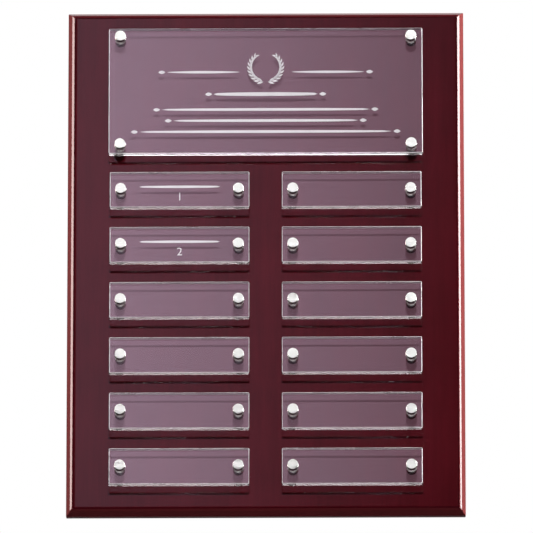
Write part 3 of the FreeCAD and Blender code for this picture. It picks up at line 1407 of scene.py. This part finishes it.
class PLAQUE_OT_engraving(bpy.types.Operator):
    """Frost a plain ornament on the back of the header and two numbered name plates"""

    bl_idname = "plaque.engraving"
    bl_label = "Engraving"

    def execute(self, context):
        settings = context.scene.plaque_engraving
        material = frosted(settings)
        rules = rule_tree()

        def rule(reach, half_width, fullness):
            values = {
                "Length": reach,
                "Half width": half_width,
                "Fullness": fullness,
                "Thickness": settings.depth,
                "Material": material,
            }
            return mesh_from_tree("rule", rules, [(0.0, 0.0)], values)

        values = {
            "Radius": settings.wreath_radius,
            "Leaf pairs": settings.leaf_pairs,
            "Leaf length": settings.leaf_length,
            "Leaf half width": settings.leaf_width,
            "Leaf spread": settings.leaf_spread,
            "Thickness": settings.depth,
            "Material": material,
        }
        laurel = mesh_from_tree("laurel", laurel_tree(), [(0.0, 0.0)], values)
        leaf = rule(*LEAF_RULE)
        parts = [(laurel, 0.0, WREATH_HEIGHT)]
        for side in (-1, 1):
            parts.append((rule(*FLANK_RULE), side * FLANK_RULE_SIDE, FLANK_HEIGHT))
            parts.append((leaf, side * FLANK_LEAF_SIDE, FLANK_HEIGHT))
        for up, line in LONG_RULES:
            parts.append((rule(*line), 0.0, up))
            for side in (-1, 1):
                parts.append((leaf, side * (line[0] / 2 + LEAF_GAP), up))
        self.add_ornament("header_ornament", HEADER_NODE, parts, settings)
        for number, node in enumerate(NUMBERED_NODES, 1):
            parts = [
                (rule(*NAME_RULE), 0.0, NAME_RULE_HEIGHT),
                (numeral(str(number), settings, material), 0.0, NUMERAL_HEIGHT),
            ]
            self.add_ornament("numeral_" + node, node, parts, settings)
        return {"FINISHED"}

    def add_ornament(self, name, node, parts, settings):
        """Set (mesh, across, up) parts behind the middle of a plate, as one piece that rides on it."""
        centre = middle(node)
        depth = header_high.y + settings.stand_off
        mesh = gather(name, [(part, (centre.x + across, depth, centre.z + up)) for part, across, up in parts])
        clean_up(mesh)
        add_piece(name, mesh, node)


# Studio


def aim(thing, place, target):
    """Set a camera, lamp or card at a place, and turn it towards a target."""
    thing.location = place
    thing.rotation_mode = "QUATERNION"
    thing.rotation_quaternion = (Vector(target) - Vector(place)).to_track_quat("-Z", "Y")


def place_lamp(name, data, watts, place, target):
    """Put a lamp in the scene, which lights matt surfaces only."""
    data.energy = watts
    lamp = new_object(name, data)
    aim(lamp, place, target)
    lamp.visible_camera = False
    lamp.visible_glossy = False
    lamp.visible_transmission = False


def add_lamp(name, watts, place, width, height):
    """An area lamp, aimed at the plaque."""
    data = bpy.data.lights.new(name, "AREA")
    data.shape = "RECTANGLE"
    data.size = width
    data.size_y = height
    place_lamp(name, data, watts, place, CENTRE)


def add_key(watts, place):
    """A small spot lamp that fades away from its target."""
    data = bpy.data.lights.new("key_lamp", "SPOT")
    data.shadow_soft_size = KEY_SOFTNESS
    data.spot_size = KEY_SPREAD
    data.spot_blend = 1.0
    place_lamp("key_lamp", data, watts, place, KEY_TARGET)


def add_card(name, place, target, size, left, right=None, tint=WHITE[:3], through=False, glare=0.0, lean=0.0):
    """A card that only metal and gloss show, and clear plastic too where light may pass through it.

    Its brightness goes from its left edge to its right, and lean tilts the change between them.
    Glare is its brightness for light that has run a long way inside a plate.
    """
    width, height = size
    bm = bmesh.new()
    bmesh.ops.create_grid(bm, x_segments=1, y_segments=1, size=0.5)
    bmesh.ops.scale(bm, vec=(width, height, 1.0), verts=bm.verts)
    material, tree, spot = new_material(name)
    axes = add(tree, "ShaderNodeSeparateXYZ", {0: spot})
    across = axes["X"] - axes["Y"] * lean
    strength = map_range(across, -width / 2, width / 2, left, left if right is None else right)
    path = light_path(tree)
    guided = path["Is Transmission Ray"] * (path["Ray Depth"] > LONG_WAY)
    strength = calc("MAXIMUM", strength, guided * glare) * first_sight(path)
    show(tree, add(tree, "ShaderNodeEmission", {"Color": (*tint, 1.0), "Strength": strength})[0])
    card = new_object(name, mesh_from(bm, name, material))
    aim(card, place, target)
    card.visible_camera = False
    card.visible_diffuse = False
    card.visible_transmission = through
    card.visible_shadow = False
    card.visible_volume_scatter = False


def add_floor(settings):
    """A wide pale floor under the plaque that keeps its shadow and is open from below."""
    bm = bmesh.new()
    bmesh.ops.create_grid(bm, x_segments=1, y_segments=1, size=FLOOR_SIZE)
    bmesh.ops.translate(bm, vec=(0.0, 0.0, -settings.floor_drop), verts=bm.verts)
    material, tree, place = new_material("Studio floor")
    mottle = noise(place, 3.0, 2.0)["Fac"]
    tone = mix_colours(mottle, settings.floor, darker(settings.floor, 0.985))
    matt = principled(tree, {"Base Color": tone, "Roughness": 0.8})
    glow = add(tree, "ShaderNodeEmission", {"Color": (*settings.floor, 1.0), "Strength": 1.0})[0]
    lit = mix_shaders(light_path(tree)["Is Camera Ray"] * FLOOR_GLOW, matt, glow)
    back = add(tree, "ShaderNodeNewGeometry")["Backfacing"]
    show(tree, mix_shaders(back, lit, add(tree, "ShaderNodeBsdfTransparent")[0]))
    new_object("studio_floor", mesh_from(bm, "studio_floor", material))


def build_world(settings):
    """Even soft light, and white where the camera, metal or glass looks past the plaque."""
    world = bpy.data.worlds.new("Studio")
    bpy.context.scene.world = world
    world.use_nodes = True
    world.cycles.sampling_method = "NONE"
    tree = world.node_tree
    tree.nodes.clear()
    path = light_path(tree)
    seen = calc("MAXIMUM", path["Is Camera Ray"], path["Is Glossy Ray"])
    seen = calc("MAXIMUM", seen, path["Is Transmission Ray"]) * first_sight(path)
    soft = add(tree, "ShaderNodeBackground", {"Color": WHITE, "Strength": settings.ambient})[0]
    white = add(tree, "ShaderNodeBackground", {"Color": WHITE, "Strength": 1.0})[0]
    show(tree, mix_shaders(seen, soft, white), "ShaderNodeOutputWorld")


def direction(azimuth, elevation):
    """The way from the plaque towards this azimuth and elevation. Azimuth 0 is the front."""
    level = math.cos(elevation)
    return Vector((math.sin(azimuth) * level, -math.cos(azimuth) * level, math.sin(elevation)))


class PLAQUE_OT_studio(bpy.types.Operator):
    """Set the camera, lamps, floor and background"""

    bl_idname = "plaque.studio"
    bl_label = "Studio"

    def execute(self, context):
        settings = context.scene.plaque_studio
        data = bpy.data.cameras.new("camera")
        data.sensor_width = 36.0
        data.lens = settings.lens
        data.clip_start, data.clip_end = 0.1, 100.0
        camera = new_object("camera", data)
        target = Vector(VIEW_TARGET)
        aim(camera, target + settings.distance * direction(settings.azimuth, settings.elevation), target)
        context.scene.camera = camera
        context.scene.view_settings.view_transform = "Standard"
        context.scene.cycles.max_bounces = settings.bounces
        context.scene.cycles.transmission_bounces = settings.bounces
        context.scene.cycles.glossy_bounces = settings.bounces
        build_world(settings)
        add_floor(settings)
        add_key(settings.key, 4.0 * direction(math.radians(1.5), math.radians(16.0)))
        add_lamp("left_lamp", settings.left, (-1.3, 0.10, 0.35), 0.12, 0.9)
        add_lamp("right_lamp", settings.right, (1.3, 0.10, 0.35), 0.12, 0.9)
        add_lamp("top_lamp", settings.top, (0.0, 0.12, 1.3), 0.9, 0.12)
        add_lamp("low_lamp", settings.low, (0.0, -0.13, -1.3), 0.9, 0.12)
        behind = 2.5 * direction(math.radians(165.0), math.radians(25.0))
        add_lamp("back_lamp", settings.back, behind, 1.2, 1.2)
        mirror = 4.0 * direction(-settings.azimuth, -settings.elevation)
        rose, blush = (1.0, 0.79, 1.05), (1.0, 0.86, 0.83)
        add_card("front_card", mirror, CENTRE, (0.48, 0.80), 1.70, 0.04, rose, True, 3.8, 0.2)
        above = 3.6 * direction(0.0, math.radians(28.0))
        add_card("cap_card", above, CENTRE, (1.6, 0.30), 34.0, 4.0)
        add_card("left_strip", (-1.09, -0.47, 0.345), (-0.15, 0.0, 0.0), (0.2, 1.0), 13.0, tint=blush)
        add_card("right_strip", (1.09, -0.47, 0.345), (0.15, 0.0, 0.0), (0.2, 1.0), 22.0)
        ahead = (0.0, 0.0, 1.0)
        add_card("dark_front", (0.0, -4.2, 1.0), ahead, (15.0, 8.5), 0.04, through=True, glare=3.6)
        add_card("dark_below", (0.0, -0.6, -1.2), (0.0, -0.6, 0.0), (3.0, 2.4), 0.03)
        add_card("dark_above", (0.0, -0.35, 1.6), CENTRE, (3.0, 0.9), 0.03)
        add_card("dark_left", (-2.2, 1.2, 0.5), (0.0, 0.0, 0.5), (3.2, 3.0), 0.12)
        add_card("dark_right", (2.2, 1.2, 0.5), (0.0, 0.0, 0.5), (3.2, 3.0), 0.30)
        return {"FINISHED"}


class PLAQUE_PT_panel(bpy.types.Panel):
    """The plaque's pieces and settings, in the sidebar"""

    bl_label = "Perpetual plaque"
    bl_idname = "PLAQUE_PT_panel"
    bl_space_type = "VIEW_3D"
    bl_region_type = "UI"
    bl_category = "Plaque"

    def draw(self, context):
        for operator in OPERATORS:
            self.layout.operator(operator.bl_idname)
        for group, _ in SETTINGS:
            box = self.layout.box()
            for name in getattr(context.scene, group).bl_rna.properties.keys():
                if name not in ("rna_type", "name"):
                    box.prop(getattr(context.scene, group), name)


SETTINGS = (
    ("plaque_board", PlaqueBoardSettings),
    ("plaque_plates", PlaquePlateSettings),
    ("plaque_hardware", PlaqueHardwareSettings),
    ("plaque_engraving", PlaqueEngravingSettings),
    ("plaque_studio", PlaqueStudioSettings),
)
OPERATORS = (
    PLAQUE_OT_board,
    PLAQUE_OT_plates,
    PLAQUE_OT_caps,
    PLAQUE_OT_barrels,
    PLAQUE_OT_bolts,
    PLAQUE_OT_engraving,
    PLAQUE_OT_studio,
)


def register():
    """Register the settings, operators and panel."""
    for group, settings in SETTINGS:
        bpy.utils.register_class(settings)
        setattr(bpy.types.Scene, group, bpy.props.PointerProperty(type=settings))
    for operator in OPERATORS:
        bpy.utils.register_class(operator)
    bpy.utils.register_class(PLAQUE_PT_panel)


def unregister():
    """Take the panel, operators and settings away again."""
    bpy.utils.unregister_class(PLAQUE_PT_panel)
    for operator in reversed(OPERATORS):
        bpy.utils.unregister_class(operator)
    for group, settings in reversed(SETTINGS):
        delattr(bpy.types.Scene, group)
        bpy.utils.unregister_class(settings)


def main():
    """Make every piece and the studio."""
    register()
    bpy.ops.plaque.studio()
    bpy.ops.plaque.board()
    bpy.ops.plaque.plates()
    bpy.ops.plaque.caps()
    bpy.ops.plaque.barrels()
    bpy.ops.plaque.bolts()
    bpy.ops.plaque.engraving()


if __name__ == "__main__":
    main()
